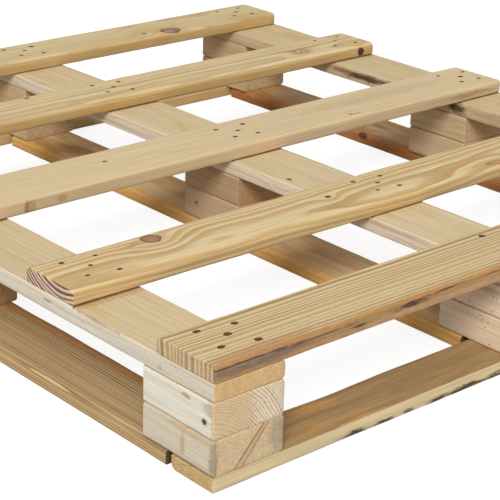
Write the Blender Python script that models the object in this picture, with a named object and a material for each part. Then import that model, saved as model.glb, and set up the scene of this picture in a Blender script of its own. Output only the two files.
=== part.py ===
"""A four-way block pallet of softwood, nailed together.

Five deck boards run along X over three stringer boards along Y. Each stringer rests on three
blocks, and every block is two short pieces of 38 mm stock laid flat on each other. Five bottom
boards tie the blocks together: a cross board under the front and the rear row, and a long board
under each column, which butts between the cross boards.

Metres, +Z up. The origin is at the middle of the footprint, on the ground. Front is -Y.
"""

import math

import bmesh
import bpy

GAP = 0.0003  # between pieces that touch, and around a nail

# Overall size
DECK_LENGTH = 0.914  # along X
PALLET_DEPTH = 1.016  # along Y

# Stock
DECK_THICKNESS = 0.0166
STRINGER_THICKNESS = 0.0190
BLOCK_THICKNESS = 0.0378
BOTTOM_THICKNESS = 0.0156
STRINGER_WIDTH = 0.086  # the blocks are cut from stock of the same width
BLOCK_LENGTH = 0.104
CROSS_BOARD_WIDTH = 0.061
LONG_BOARD_WIDTH = 0.081
DECK_EDGE_RADIUS = 0.005
BOTTOM_EDGE_RADIUS = 0.004
BLOCK_EDGE_RADIUS = 0.0015
SAWN_EDGE_RADIUS = 0.0006
CORNER_STEPS = 4

# Plan: each deck board's distance from the front edge, and its width
DECK_BOARDS = (
    (0.0000, 0.0845),
    (0.2135, 0.0810),
    (0.4565, 0.0895),
    (0.7090, 0.0805),
    (0.9345, 0.0815),
)
COLUMN_X = {"left": -0.414, "middle": -0.002, "right": 0.414}
LONG_BOARD_X = {"left": -0.416, "middle": -0.005, "right": 0.416}
ROW_Y = {"front": -0.456, "centre": -0.011, "rear": 0.456}
BUTT_GAP = 0.007  # from a cross board to the end of a long board

# Heights, from the ground up
LOWER_BLOCK_Z = BOTTOM_THICKNESS + GAP
UPPER_BLOCK_Z = LOWER_BLOCK_Z + BLOCK_THICKNESS + GAP
STRINGER_Z = UPPER_BLOCK_Z + BLOCK_THICKNESS + GAP
DECK_Z = STRINGER_Z + STRINGER_THICKNESS + GAP
DECK_TOP_Z = DECK_Z + DECK_THICKNESS

# Nails
NAIL_SIDES = 8
SHANK_RADIUS = 0.0015
HEAD_RADIUS = 0.0035
HEAD_THICKNESS = 0.0014
POINT_LENGTH = 0.004
POINT_RADIUS = 0.0003
HEAD_DEPTH = 0.0008  # how far a driven head lies under the surface
LONG_NAIL = 0.089  # through the deck, the stringer and the upper block, into the lower block
SHORT_NAIL = 0.034  # through the deck board, into a stringer between two blocks
BOTTOM_NAIL = 0.076  # through a bottom board and the lower block, into the upper block
DECK_NAIL_OFFSET = (0.004, 0.005)  # from the middle of a crossing
# How far the nails of a crossing lie along their deck board from their usual place
DECK_NAIL_SHIFTS = (
    (0.008, -0.002, 0.003),
    (0.006, 0.006, -0.004),
    (-0.003, 0.004, 0.006),
    (0.002, -0.007, -0.003),
    (0.005, 0.000, -0.008),
)
CROSS_NAIL_X = -0.013  # from the middle of a block to the cross board's nail
LONG_NAIL_INSET = 0.017  # from the end of a long board to its nail
CENTRE_NAIL_Y = -0.030  # from the middle of a centre block to the long board's nail

# Linear colour, roughness and metallic
FINISHES = {
    "deck": ((0.68, 0.45, 0.21), 0.62, 0.0),
    "stringer": ((0.73, 0.54, 0.30), 0.65, 0.0),
    "block": ((0.74, 0.57, 0.36), 0.70, 0.0),
    "bottom": ((0.62, 0.40, 0.19), 0.68, 0.0),
    "nail": ((0.24, 0.22, 0.20), 0.45, 1.0),
}


def remove_everything():
    for item in list(bpy.data.objects):
        bpy.data.objects.remove(item, do_unlink=True)


def make_finish(name):
    colour, roughness, metallic = FINISHES[name]
    material = bpy.data.materials.new(name)
    material.use_nodes = True
    shader = material.node_tree.nodes["Principled BSDF"]
    shader.inputs["Base Color"].default_value = (*colour, 1.0)
    shader.inputs["Roughness"].default_value = roughness
    shader.inputs["Metallic"].default_value = metallic
    material.diffuse_color = (*colour, 1.0)
    return material


def add_object(name, bm, material=None):
    mesh = bpy.data.meshes.new(name)
    bm.to_mesh(mesh)
    bm.free()
    if material:
        mesh.materials.append(material)
    placed = bpy.data.objects.new(name, mesh)
    bpy.context.scene.collection.objects.link(placed)
    return placed


def corner(y, z, radius, start_angle):
    """Points of a quarter circle that rounds one corner of a cross-section."""
    steps = range(CORNER_STEPS + 1)
    angles = [start_angle + 0.5 * math.pi * step / CORNER_STEPS for step in steps]
    return [(y + radius * math.cos(a), z + radius * math.sin(a)) for a in angles]


def cross_section(width, thickness, top_radius, bottom_radius):
    """A board's section, anticlockwise from the lower right corner, with its underside at 0."""
    side = 0.5 * width
    outer = side - bottom_radius
    inner = side - top_radius
    upper = thickness - top_radius
    return (
        corner(outer, bottom_radius, bottom_radius, -0.5 * math.pi)
        + corner(inner, upper, top_radius, 0.0)
        + corner(-inner, upper, top_radius, 0.5 * math.pi)
        + corner(-outer, bottom_radius, bottom_radius, math.pi)
    )


def sawn_piece(name, length, section, centre, along_y, material):
    """A straight piece of wood: its section drawn out along its length."""
    bm = bmesh.new()
    corners = [bm.verts.new((-0.5 * length, y, z)) for y, z in section]
    end = bm.faces.new(corners)
    drawn = bmesh.ops.extrude_face_region(bm, geom=[end])
    moved = [item for item in drawn["geom"] if isinstance(item, bmesh.types.BMVert)]
    bmesh.ops.translate(bm, vec=(length, 0.0, 0.0), verts=moved)
    bmesh.ops.recalc_face_normals(bm, faces=bm.faces)
    piece = add_object(name, bm, material)
    piece.location = centre
    piece.rotation_euler.z = 0.5 * math.pi if along_y else 0.0
    return piece


def make_deck_boards():
    material = make_finish("deck")
    boards = []
    for number, (start, width) in enumerate(DECK_BOARDS, 1):
        section = cross_section(width, DECK_THICKNESS, DECK_EDGE_RADIUS, SAWN_EDGE_RADIUS)
        middle_y = start + 0.5 * width - 0.5 * PALLET_DEPTH
        centre = (0.0, middle_y, DECK_Z)
        name = f"deck_board_{number}"
        boards.append(sawn_piece(name, DECK_LENGTH, section, centre, False, material))
    return boards


def make_stringer_boards():
    material = make_finish("stringer")
    section = cross_section(
        STRINGER_WIDTH, STRINGER_THICKNESS, DECK_EDGE_RADIUS, SAWN_EDGE_RADIUS
    )
    return [
        sawn_piece(f"stringer_board_{column}", PALLET_DEPTH, section, (x, 0.0, STRINGER_Z), True, material)
        for column, x in COLUMN_X.items()
    ]


def make_blocks():
    material = make_finish("block")
    section = cross_section(
        STRINGER_WIDTH, BLOCK_THICKNESS, BLOCK_EDGE_RADIUS, BLOCK_EDGE_RADIUS
    )
    layers = {"lower": LOWER_BLOCK_Z, "upper": UPPER_BLOCK_Z}
    return [
        sawn_piece(f"{layer}_block_{row}_{column}", BLOCK_LENGTH, section, (x, y, z), True, material)
        for layer, z in layers.items()
        for row, y in ROW_Y.items()
        for column, x in COLUMN_X.items()
    ]


def cross_board_y():
    """Middle of the rear cross board. The front one mirrors it."""
    return 0.5 * (PALLET_DEPTH - CROSS_BOARD_WIDTH)


def long_board_length():
    return PALLET_DEPTH - 2.0 * (CROSS_BOARD_WIDTH + BUTT_GAP)


def make_bottom_boards():
    material = make_finish("bottom")
    cross = cross_section(
        CROSS_BOARD_WIDTH, BOTTOM_THICKNESS, SAWN_EDGE_RADIUS, SAWN_EDGE_RADIUS
    )
    long = cross_section(
        LONG_BOARD_WIDTH, BOTTOM_THICKNESS, BOTTOM_EDGE_RADIUS, SAWN_EDGE_RADIUS
    )
    boards = [
        sawn_piece(f"bottom_board_{row}", DECK_LENGTH, cross, (0.0, y, 0.0), False, material)
        for row, y in (("front", -cross_board_y()), ("rear", cross_board_y()))
    ]
    boards += [
        sawn_piece(f"bottom_board_{column}", long_board_length(), long, (x, 0.0, 0.0), True, material)
        for column, x in LONG_BOARD_X.items()
    ]
    return boards


def add_turned(bm, profile, place, up):
    """Adds a closed round body, from (radius, depth) points, pointing down from its place or up."""
    x, y, z = place
    along = 1.0 if up else -1.0
    angles = [2.0 * math.pi * side / NAIL_SIDES for side in range(NAIL_SIDES)]
    rings = [
        [
            bm.verts.new((x + radius * math.cos(a), y + radius * math.sin(a), z + along * depth))
            for a in angles
        ]
        for radius, depth in profile
    ]
    bm.faces.new(rings[0])
    bm.faces.new(rings[-1])
    for upper, lower in zip(rings, rings[1:]):
        for side in range(NAIL_SIDES):
            following = (side + 1) % NAIL_SIDES
            bm.faces.new((upper[side], upper[following], lower[following], lower[side]))


def nail_profile(length):
    return (
        (HEAD_RADIUS, 0.0),
        (HEAD_RADIUS, HEAD_THICKNESS),
        (SHANK_RADIUS, HEAD_THICKNESS),
        (SHANK_RADIUS, length - POINT_LENGTH),
        (POINT_RADIUS, length),
    )


def hole_profile(length):
    """The space that a nail of this length takes, open above its head."""
    return (
        (HEAD_RADIUS + GAP, -2.0 * HEAD_DEPTH),
        (HEAD_RADIUS + GAP, HEAD_THICKNESS + GAP),
        (SHANK_RADIUS + GAP, HEAD_THICKNESS + GAP),
        (SHANK_RADIUS + GAP, length + GAP),
    )


def deck_nails():
    """Name, place, length and direction of one nail at each crossing of deck and stringer."""
    nails = []
    for number, ((start, width), shifts) in enumerate(zip(DECK_BOARDS, DECK_NAIL_SHIFTS), 1):
        y = start + 0.5 * width - 0.5 * PALLET_DEPTH + DECK_NAIL_OFFSET[1]
        over_blocks = any(abs(y - row_y) < 0.5 * BLOCK_LENGTH for row_y in ROW_Y.values())
        length = LONG_NAIL if over_blocks else SHORT_NAIL
        for (column, column_x), shift in zip(COLUMN_X.items(), shifts):
            x = column_x + DECK_NAIL_OFFSET[0] + shift
            place = (x, y, DECK_TOP_Z - HEAD_DEPTH)
            nails.append((f"deck_nail_{number}_{column}", place, length, False))
    return nails


def bottom_nails():
    """The same for the nails driven upwards, one for each board end and block."""
    end_y = 0.5 * long_board_length() - LONG_NAIL_INSET
    nails = []
    for column, x in COLUMN_X.items():
        for row, y in (("front", -cross_board_y()), ("rear", cross_board_y())):
            place = (x + CROSS_NAIL_X, y, HEAD_DEPTH)
            nails.append((f"cross_board_nail_{row}_{column}", place, BOTTOM_NAIL, True))
        spots = {"front": -end_y, "rear": end_y}
        if column != "middle":
            spots["centre"] = ROW_Y["centre"] + CENTRE_NAIL_Y
        for row, y in spots.items():
            place = (x, y, HEAD_DEPTH)
            nails.append((f"long_board_nail_{row}_{column}", place, BOTTOM_NAIL, True))
    return nails


def make_nails(nails):
    material = make_finish("nail")
    for name, place, length, up in nails:
        bm = bmesh.new()
        add_turned(bm, nail_profile(length), place, up)
        bmesh.ops.recalc_face_normals(bm, faces=bm.faces)
        nail = add_object(name, bm, material)
        nail.data.shade_smooth()
        nail.data.set_sharp_from_angle(angle=math.radians(40.0))


def cut_nail_holes(pieces, nails):
    """Cuts every nail's own space out of the boards and blocks that it passes through."""
    bm = bmesh.new()
    for _, place, length, up in nails:
        add_turned(bm, hole_profile(length), place, up)
    bmesh.ops.recalc_face_normals(bm, faces=bm.faces)
    cutter = add_object("nail_holes", bm)
    cutter.hide_render = True
    cutter.display_type = "WIRE"
    for piece in pieces:
        cut = piece.modifiers.new("nail holes", "BOOLEAN")
        cut.operation = "DIFFERENCE"
        cut.object = cutter


def main():
    remove_everything()
    pieces = make_deck_boards() + make_stringer_boards() + make_blocks() + make_bottom_boards()
    nails = deck_nails() + bottom_nails()
    make_nails(nails)
    cut_nail_holes(pieces, nails)


main()
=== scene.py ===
"""Looks of a softwood block pallet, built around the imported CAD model.

Every board and block is a mesh of its own, with eased and waney edges and recesses for its nails,
and a solid wood material: growth rings round the pith of the log that it was sawn from, so that
faces, edges and end grain all show the same rings.

Metres, in the CAD model's frame. Inside a wood material the unit is a millimetre, and a place is
(along the grain, across the width, up) from the middle of the piece. On a board along X, across
is +Y. On one along Y, along is +Y and across is -X.
"""
import math
from dataclasses import dataclass, replace

import bpy
import numpy as np
from mathutils import Matrix, Vector


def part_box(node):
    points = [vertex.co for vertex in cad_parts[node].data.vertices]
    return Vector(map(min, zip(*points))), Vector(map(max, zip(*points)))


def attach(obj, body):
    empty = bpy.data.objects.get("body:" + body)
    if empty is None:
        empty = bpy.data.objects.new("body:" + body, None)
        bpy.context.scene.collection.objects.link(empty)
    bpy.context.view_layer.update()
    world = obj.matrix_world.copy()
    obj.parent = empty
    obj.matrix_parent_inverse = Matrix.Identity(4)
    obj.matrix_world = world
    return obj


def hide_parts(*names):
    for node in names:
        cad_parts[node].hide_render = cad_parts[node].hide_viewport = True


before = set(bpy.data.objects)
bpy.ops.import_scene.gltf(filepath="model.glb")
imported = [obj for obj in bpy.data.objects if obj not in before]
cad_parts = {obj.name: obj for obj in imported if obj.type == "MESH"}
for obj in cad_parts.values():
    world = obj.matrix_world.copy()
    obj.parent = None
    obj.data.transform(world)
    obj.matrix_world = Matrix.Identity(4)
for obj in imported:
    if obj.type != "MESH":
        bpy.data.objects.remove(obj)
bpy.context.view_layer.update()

MM = 0.001

# Camera, as the photographer stood: to the front left of the near corner
CAMERA_PLACE = (-1.3156, -1.5125, 0.7732)
CAMERA_HEADING = 41.74  # degrees from +Y towards +X
CAMERA_DIP = 21.93  # degrees below the horizon
CAMERA_ROLL = 1.62
CAMERA_LENS = 119.45  # mm
SENSOR_WIDTH = 36.0  # mm
CAMERA_CLIP = 50.0

# Key light
KEY_PLACE = (-5.9, -5.6, 6.9)
KEY_TARGET = (0.0, 0.0, 0.05)
KEY_SIZE = 4.0
KEY_POWER = 790.0  # W

FLOOR_REACH = 12.0  # from the middle to each edge
FLOOR_DROP = 0.5 * MM  # keeps the floor clear of the boards that stand on it
SQUARE = ((-1, -1), (1, -1), (1, 1), (-1, 1))  # corners, anticlockwise from low x and y
# The floor glows white to the camera and lights the wood as a duller one would
FLOOR_TONE = 0.42
FLOOR_SEEN_TONE = 0.25
FLOOR_GLOW = 0.85
SKY_STRENGTH = 0.55

COLUMNS = ("left", "middle", "right")
ROWS = ("front", "centre", "rear")

# Nails
HEAD_DEPTH = 0.8 * MM  # under the head of the CAD model's nail, itself a little under the surface
RECESS_DEPTH = 2.4 * MM  # under the surface
RECESS_STRETCH = (1.12, 0.82)  # along the grain, where the fibres tear, and across it
RECESS_SIDES = 18
NAIL_SIDES = 16
NAIL_SHARP_ANGLE = math.radians(40.0)
HEAD_RADIUS = 3.0 * MM
SHANK_RADIUS = 1.4 * MM
HEAD_THICKNESS = 1.3 * MM
RING_PITCH = 1.6 * MM
# The other nails of a crossing, in X and Y from the CAD model's one, in millimetres
DECK_NAIL_OFFSETS = ((-21.0, 20.0), (21.0, 16.0), (-20.0, -17.0), (16.0, -23.0))
CROSS_NAIL_OFFSETS = ((30.0, 14.0), (26.0, -15.0))
LONG_NAIL_OFFSETS = ((-25.0, 2.0), (24.0, -3.0))
CENTRE_NAIL_OFFSETS = ((-22.0, 51.0), (24.0, 36.0))
NAIL_SCATTER = 3.0

# Seeds. A deck board's is its number. The others count up from these, piece by piece
NAIL_SEED = 5
STRINGER_SEED = 11
BLOCK_SEED = 21
CROSS_SEED = 41
LONG_SEED = 43


def srgb(red, green, blue):
    """A colour as a screen shows it, 0 to 255, made linear."""
    return tuple(
        c / 12.92 if c <= 0.04045 else ((c + 0.055) / 1.055) ** 2.4
        for c in (red / 255.0, green / 255.0, blue / 255.0)
    )


def add_object(name, data):
    added = bpy.data.objects.new(name, data)
    bpy.context.scene.collection.objects.link(added)
    return added


def new_mesh(name, points, faces):
    mesh = bpy.data.meshes.new(name)
    mesh.from_pydata(points, [], faces)
    return mesh


def closed_faces(rows, columns):
    """Faces over rows of points in rings, with a face across the first ring and the last."""
    index = np.arange(rows * columns).reshape(rows, columns)
    following = np.roll(index, -1, axis=1)
    quads = np.stack([index[:-1], following[:-1], following[1:], index[1:]], -1).reshape(-1, 4)
    return quads.tolist() + [index[0][::-1].tolist(), index[-1].tolist()]


# ---- Node trees --------------------------------------------------


class Graph:
    """Adds nodes to a material's tree. An input is a socket to link, or a plain value."""

    def __init__(self, material):
        material.use_nodes = True
        self.nodes = material.node_tree.nodes
        self.links = material.node_tree.links
        self.nodes.clear()

    def feed(self, socket, value):
        if isinstance(value, bpy.types.NodeSocket):
            self.links.new(value, socket)
        elif socket.type == "RGBA":
            socket.default_value = (*value, 1.0)
        else:
            socket.default_value = value

    def node(self, kind, settings=None, **inputs):
        made = self.nodes.new(kind)
        for key, value in (settings or {}).items():
            setattr(made, key, value)
        for name, value in inputs.items():
            self.feed(made.inputs[name.replace("_", " ")], value)
        return made

    def math(self, operation, a, b=None, c=None, clamp=False):
        made = self.node("ShaderNodeMath", {"operation": operation, "use_clamp": clamp})
        for socket, value in zip(made.inputs, (a, b, c)):
            if value is not None:
                self.feed(socket, value)
        return made.outputs[0]

    def vector(self, operation, a, b=None, output=0):
        made = self.node("ShaderNodeVectorMath", {"operation": operation})
        self.feed(made.inputs[0], a)
        if b is not None:
            self.feed(made.inputs[1], b)
        return made.outputs[output]

    def length(self, a):
        return self.vector("LENGTH", a, output=1)

    def parts(self, a):
        return self.node("ShaderNodeSeparateXYZ", Vector=a).outputs

    def join(self, x, y, z):
        return self.node("ShaderNodeCombineXYZ", X=x, Y=y, Z=z).outputs[0]

    def ramp(self, value, low, high, to_low=0.0, to_high=1.0):
        """Smooth step of a value from low to high."""
        made = self.node(
            "ShaderNodeMapRange",
            {"interpolation_type": "SMOOTHSTEP"},
            Value=value,
            From_Min=low,
            From_Max=high,
            To_Min=to_low,
            To_Max=to_high,
        )
        return made.outputs[0]

    def noise(self, place, scale, detail, roughness=0.5, colour=False):
        """Noise with one feature about every 1 / scale millimetres. Its mean is 0.5."""
        stretched = self.vector("MULTIPLY", place, scale)
        made = self.node(
            "ShaderNodeTexNoise", Vector=stretched, Scale=1.0, Detail=detail, Roughness=roughness
        )
        return made.outputs["Color" if colour else "Fac"]

    def vary(self, value, noise, amount):
        """A value moved up and down by a noise whose mean is 0.5."""
        return self.math("MULTIPLY_ADD", self.math("SUBTRACT", noise, 0.5), amount, value)

    def drift(self, noise, reach):
        """A coloured noise as an offset, about as far as reach along each axis."""
        return self.vector("MULTIPLY", self.vector("SUBTRACT", noise, (0.5, 0.5, 0.5)), reach)

    def random(self, value):
        made = self.node("ShaderNodeTexWhiteNoise", {"noise_dimensions": "1D"}, W=value)
        return made.outputs["Value"]

    def mix(self, factor, a, b):
        made = self.node("ShaderNodeMix", {"data_type": "RGBA"})
        for index, value in ((0, factor), (6, a), (7, b)):
            self.feed(made.inputs[index], value)
        return made.outputs[2]

    def scaled(self, colour, amount):
        """A colour made lighter or darker."""
        made = self.node("ShaderNodeVectorMath", {"operation": "SCALE"})
        self.feed(made.inputs[0], colour)
        self.feed(made.inputs[3], amount)
        return made.outputs[0]

    def finish(self, shader):
        output = self.nodes.new("ShaderNodeOutputMaterial")
        self.links.new(shader.outputs[0], output.inputs[0])

    def curve(self, value, stops):
        """A value drawn through (position, height) stops."""
        made = self.nodes.new("ShaderNodeValToRGB")
        ramp = made.color_ramp
        ramp.interpolation = "EASE"
        while len(ramp.elements) < len(stops):
            ramp.elements.new(0.5)
        for element, (position, height) in zip(ramp.elements, stops):
            element.position = position
            element.color = (height, height, height, 1.0)
        self.feed(made.inputs[0], value)
        return made.outputs[0]


# ---- Wood --------------------------------------------------------


@dataclass(frozen=True)
class Knot:
    """A branch through the board, upwards, or across it if it shows on the edges.

    Here and below, colours are as a screen shows them, 0 to 255.
    """

    along: float
    side: float  # across the width, or up where the branch runs across
    radius: float
    colour: tuple = (150, 98, 58)
    rim: tuple = (84, 52, 32)
    across: bool = False
    stretch: float = 1.5
    reach: float = 4.0  # how many radii away the grain still bends
    push: float = 1.2  # how many rings the grain swells by


@dataclass(frozen=True)
class Patch:
    """Bark, resin, dirt, a stain or painted shade: a ragged ellipsoid of another colour."""

    centre: tuple
    half: tuple
    colour: tuple
    strength: float = 0.8
    ragged: float = 0.8
    turn: float = 0.0  # degrees round the grain


# How often a pattern repeats in a millimetre: along the grain, across the width and up
WANDER_SCALE = (0.0045, 0.0, 0.0)
WOBBLE_SCALE = (0.018, 0.05, 0.05)
FIBRE_SCALE = (0.012, 1.1, 1.1)
STREAK_SCALE = (0.0035, 0.14, 0.14)
STRAND_SCALE = (0.009, 0.38, 0.38)
BLOTCH_SCALE = (0.006, 0.022, 0.03)
FLECK_SCALE = (0.09, 1.5, 1.5)
PEPPER_SCALE = (0.25, 0.55, 0.55)
PORE_SCALE = (0.3, 0.8, 0.8)
SMEAR_SCALE = (0.1, 0.7, 0.7)
KNOT_EDGE_SCALE = (0.09, 0.16, 0.16)
PATCH_EDGE_SCALE = (0.05, 0.3, 0.3)
SAW_SCALE = (0.5, 0.035, 0.5)

KNOT_PULL = 0.75  # share of its offset by which the grain is drawn round a knot
KNOT_HALO = 2.3  # radii out to which the wood is resinous
KNOT_RINGS = 16.0  # radians of a knot's own rings in one radius
RINGS_ALIKE = 0.16  # the spacing of rings changes about once in 1 / this many
VIGOUR = (0.6, 0.55)  # spread and least strength of a year's late wood
KNOT_MOTTLE = (1.5, 0.25)  # spread and least strength of the colour
PATCH_MOTTLE = (1.5, 0.28)
FIBRE_SHADE = 0.5
FLECK_DEPTH = 1.6
WOOD_ROUGHNESS = 0.66
WOOD_SPECULAR = 0.32

# Where a noise, or the share of the normal that faces an edge or an end, starts and stops counting
FLECK_RANGE = (0.66, 0.80)
PEPPER_RANGE = (0.70, 0.75)
END_RANGE = (0.55, 0.85)
SIDE_RANGE = (0.55, 0.9)

# Heights of the bump, in millimetres
LATE_RELIEF = 0.05
FIBRE_RELIEF = 0.10
SAW_RELIEF = 0.16
PORE_RELIEF = 0.30
CRUST_RELIEF = 0.8

# How dark the wood gets through a year's growth, from spring to the next spring
THIN_LATE = ((0.0, 0.0), (0.42, 0.06), (0.74, 0.5), (0.90, 1.0), (0.99, 0.0))
BROAD_LATE = ((0.0, 0.0), (0.25, 0.1), (0.52, 0.75), (0.86, 1.0), (0.99, 0.0))


@dataclass(frozen=True)
class Grain:
    """How a piece of wood was sawn from its log, and its colours."""

    pith: tuple = (20.0, -120.0)  # mm across and up
    tilt: tuple = (0.0, 0.0)  # how far the pith moves across and up for each mm along
    ring: float = 3.6  # mm from ring to ring in the middle of the piece
    narrowing: float = 0.4  # how fast the rings get narrower outwards
    wander: float = 5.0  # mm by which the pith wanders along the piece
    wobble: float = 1.5  # mm by which single rings stray
    contrast: float = 0.55  # of the dark late wood
    profile: tuple = THIN_LATE
    early: tuple = (219, 196, 150)
    late: tuple = (168, 126, 74)
    golden: tuple = (205, 165, 96)
    gold: float = 0.25  # how much of the piece is of the golden tone
    side: tuple = (216, 198, 164)  # edges
    side_tint: float = 0.3
    end: tuple = (203, 172, 130)  # end grain
    end_tint: float = 0.5
    end_late: tuple = (150, 108, 76)
    end_rings: float = 1.0  # share of the contrast that the rings keep on the end grain
    stipple: float = 0.6  # of the end grain
    streaks: float = 0.16
    strands: float = 0.42
    speckle: float = 0.10
    pepper: float = 0.0  # dark specks
    knots: tuple = ()
    patches: tuple = ()


def piece_coordinates(graph, centre, along_y):
    """The place on the piece, in millimetres along, across and up, and the normal turned alike."""
    turn = (0.0, 0.0, -0.5 * math.pi if along_y else 0.0)
    coordinates = graph.node("ShaderNodeTexCoord").outputs
    offset = Matrix.Rotation(turn[2], 3, "Z") @ Vector(centre) / MM
    place = graph.node(
        "ShaderNodeMapping",
        Vector=coordinates["Object"],
        Location=-offset,
        Rotation=turn,
        Scale=(1.0 / MM, 1.0 / MM, 1.0 / MM),
    ).outputs[0]
    normal = graph.node(
        "ShaderNodeMapping", Vector=coordinates["Normal"], Rotation=turn
    ).outputs[0]
    return place, normal


def knot_distance(graph, knot, place):
    """Distance from the branch's axis in knot radii, and the offset from it in millimetres."""
    along, across, up = graph.parts(place)
    other = up if knot.across else across
    offset_along = graph.math("SUBTRACT", along, knot.along)
    offset_side = graph.math("SUBTRACT", other, knot.side)
    shrunk = graph.math("DIVIDE", offset_along, knot.stretch * knot.radius)
    widened = graph.math("DIVIDE", offset_side, knot.radius)
    distance = graph.length(graph.join(shrunk, widened, 0.0))
    return distance, offset_side


def bend_round_knots(graph, grain, place):
    """The place with the grain bent round the knots, the rings' swell, and each knot's distance."""
    along, across, up = graph.parts(place)
    swell = 0.0
    distances = []
    for knot in grain.knots:
        distance, offset = knot_distance(graph, knot, place)
        near = graph.math("DIVIDE", distance, knot.reach)
        near = graph.math("MULTIPLY", near, near)
        near = graph.math("EXPONENT", graph.math("MULTIPLY", near, -1.0))
        shift = graph.math("MULTIPLY", graph.math("MULTIPLY", offset, near), -KNOT_PULL)
        if knot.across:
            up = graph.math("ADD", up, shift)
        else:
            across = graph.math("ADD", across, shift)
        swell = graph.math("MULTIPLY_ADD", near, knot.push, swell)
        distances.append(distance)
    return along, across, up, swell, distances


def late_wood(graph, grain, place, home, seed):
    """How much of the dark late wood of the growth rings lies at a place, and the knot distances."""
    along, across, up, swell, distances = bend_round_knots(graph, grain, place)
    slow = graph.noise(home, WANDER_SCALE, 1.0, colour=True)
    wobble = graph.noise(home, WOBBLE_SCALE, 2.0, colour=True)
    slow = graph.drift(slow, (0.0, 4.0 * grain.wander, 4.0 * grain.wander))
    wobble = graph.drift(wobble, (0.0, 2.0 * grain.wobble, 2.0 * grain.wobble))
    leaning = graph.vector("MULTIPLY", graph.join(along, along, along), (0.0, *grain.tilt))
    radial = graph.join(0.0, across, up)
    radial = graph.vector("SUBTRACT", radial, (0.0, *grain.pith))
    for shift in (leaning, slow, wobble):
        radial = graph.vector("SUBTRACT", radial, shift)
    radius = graph.length(radial)
    middle_radius = math.hypot(*grain.pith)
    power = 1.0 + grain.narrowing
    years = graph.math("POWER", graph.math("DIVIDE", radius, middle_radius), power)
    years = graph.math("MULTIPLY", years, middle_radius / (power * grain.ring))
    spacing = graph.noise(graph.join(years, seed * 3.7, 0.0), (RINGS_ALIKE, 1.0, 1.0), 1.0)
    years = graph.math("MULTIPLY_ADD", spacing, 3.0, years)
    years = graph.math("ADD", years, swell)
    vigour = graph.random(graph.math("FLOOR", years))
    late = graph.curve(graph.math("FRACT", years), grain.profile)
    late = graph.math("MULTIPLY", late, graph.math("MULTIPLY_ADD", vigour, *VIGOUR))
    return late, distances


def tone_variation(graph, grain, home, fibre):
    """A factor on the colour: fibres, streaks, strands and dark flecks."""
    streak = graph.noise(home, STREAK_SCALE, 3.0, 0.55)
    fleck = graph.noise(home, FLECK_SCALE, 2.0, 0.7)
    strand = graph.noise(home, STRAND_SCALE, 3.0, 0.6)
    shade = graph.vary(1.0, fibre, FIBRE_SHADE)
    shade = graph.vary(shade, streak, 2.0 * grain.streaks)
    shade = graph.vary(shade, strand, grain.strands)
    dark_fleck = graph.ramp(fleck, *FLECK_RANGE)
    shade = graph.math("MULTIPLY_ADD", dark_fleck, -FLECK_DEPTH * grain.speckle, shade)
    if grain.pepper:
        dots = graph.ramp(graph.noise(home, PEPPER_SCALE, 1.0), *PEPPER_RANGE)
        shade = graph.math("MULTIPLY_ADD", dots, -grain.pepper, shade)
    return shade


def paint_knots(graph, grain, home, smear, distances, colour):
    """The colour with the knots in it, and how far a place is inside one."""
    edge_noise = graph.noise(home, KNOT_EDGE_SCALE, 3.0, 0.6)
    in_knots = 0.0
    for knot, distance in zip(grain.knots, distances):
        ragged = graph.math("SUBTRACT", distance, 0.25)
        ragged = graph.math("MULTIPLY_ADD", edge_noise, 0.5, ragged)
        inside = graph.ramp(ragged, 1.12, 0.92)
        halo = graph.ramp(ragged, KNOT_HALO, 1.0, 0.0, 0.45)
        rings = graph.math("SINE", graph.math("MULTIPLY", ragged, KNOT_RINGS))
        mottle = graph.math("MULTIPLY_ADD", smear, *KNOT_MOTTLE)
        mottle = graph.math("MULTIPLY_ADD", rings, 0.12, mottle)
        heart = graph.scaled(srgb(*knot.colour), mottle)
        heart = graph.mix(graph.ramp(ragged, 0.62, 1.0), heart, srgb(*knot.rim))
        colour = graph.mix(halo, colour, graph.scaled(srgb(*grain.golden), 0.88))
        colour = graph.mix(inside, colour, heart)
        in_knots = graph.math("MAXIMUM", inside, in_knots)
    return colour, in_knots


def paint_patches(graph, grain, place, smear, rough_edge, colour):
    """The colour with bark, resin, dirt and painted shade on it, and how much of them covers a
    place.
    """
    in_patches = 0.0
    for patch in grain.patches:
        offset = graph.vector("SUBTRACT", place, patch.centre)
        if patch.turn:
            offset = graph.node(
                "ShaderNodeVectorRotate",
                {"rotation_type": "X_AXIS"},
                Vector=offset,
                Angle=math.radians(-patch.turn),
            ).outputs[0]
        distance = graph.length(graph.vector("DIVIDE", offset, patch.half))
        waver = 3.5 * patch.ragged
        distance = graph.math("MULTIPLY_ADD", rough_edge, waver, distance)
        edge = 1.0 + 0.5 * waver
        soft = 0.15 + 0.35 * patch.ragged
        cover = graph.ramp(distance, edge + soft, edge - soft, 0.0, patch.strength)
        mottle = graph.math("MULTIPLY_ADD", smear, *PATCH_MOTTLE)
        tone = graph.scaled(srgb(*patch.colour), mottle)
        colour = graph.mix(cover, colour, tone)
        in_patches = graph.math("MAXIMUM", cover, in_patches)
    return colour, in_patches


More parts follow.
